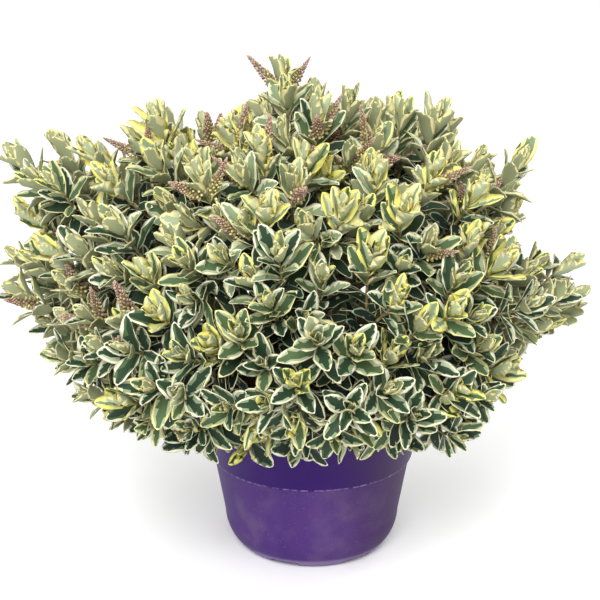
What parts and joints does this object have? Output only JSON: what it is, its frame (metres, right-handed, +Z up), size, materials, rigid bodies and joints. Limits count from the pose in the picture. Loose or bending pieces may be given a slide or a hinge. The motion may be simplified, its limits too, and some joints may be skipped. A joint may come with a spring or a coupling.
{
  "type": "potted variegated hebe shrub",
  "caption": "Dome-shaped evergreen hebe shrub with cream-edged green leaves and small closed flower spikes, in a round purple plastic nursery pot.",
  "frame": {"origin": "middle of the pot's flat underside, on the surface the pot stands on", "axes": "+Z up, -Y towards the side the shrub is looked at from, +X to its right"},
  "size_m": [0.4862, 0.4488, 0.4236],
  "materials": {
    "pot_plastic": "thin moulded purple plastic, satin, dusty on its lower wall",
    "compost": "damp dark peat and bark compost",
    "bark": "grey-brown ringed bark",
    "old_leaves": "leathery leaves, dark blue-green with cream edges",
    "grown_leaves": "leathery leaves, grey-green with cream edges",
    "young_leaves": "leathery leaves, pale green with yellow edges"
  },
  "bodies": {
    "root": {"pot": "pot_plastic", "compost": "compost", "stem": "bark", "skirt_bough_1": "bark", "skirt_bough_2": "bark", "skirt_bough_3": "bark", "skirt_bough_4": "bark", "skirt_bough_5": "bark", "skirt_bough_6": "bark", "skirt_bough_7": "bark", "skirt_bough_8": "bark", "middle_bough_1": "bark", "middle_bough_2": "bark", "middle_bough_3": "bark", "middle_bough_4": "bark", "middle_bough_5": "bark", "middle_bough_6": "bark", "upper_bough_1": "bark", "upper_bough_2": "bark", "upper_bough_3": "bark", "upper_bough_4": "bark", "upper_bough_5": "bark", "top_bough": "bark", "skirt_foliage_1": "old_leaves", "skirt_foliage_2": "old_leaves", "skirt_foliage_3": "old_leaves", "skirt_foliage_4": "old_leaves", "skirt_foliage_5": "old_leaves", "skirt_foliage_6": "old_leaves", "skirt_foliage_7": "old_leaves", "skirt_foliage_8": "old_leaves", "middle_foliage_1": "grown_leaves", "middle_foliage_2": "grown_leaves", "middle_foliage_3": "grown_leaves", "middle_foliage_4": "grown_leaves", "middle_foliage_5": "grown_leaves", "middle_foliage_6": "grown_leaves", "upper_foliage_1": "young_leaves", "upper_foliage_2": "young_leaves", "upper_foliage_3": "young_leaves", "upper_foliage_4": "young_leaves", "upper_foliage_5": "young_leaves", "top_foliage": "young_leaves"}
  },
  "joints": []
}
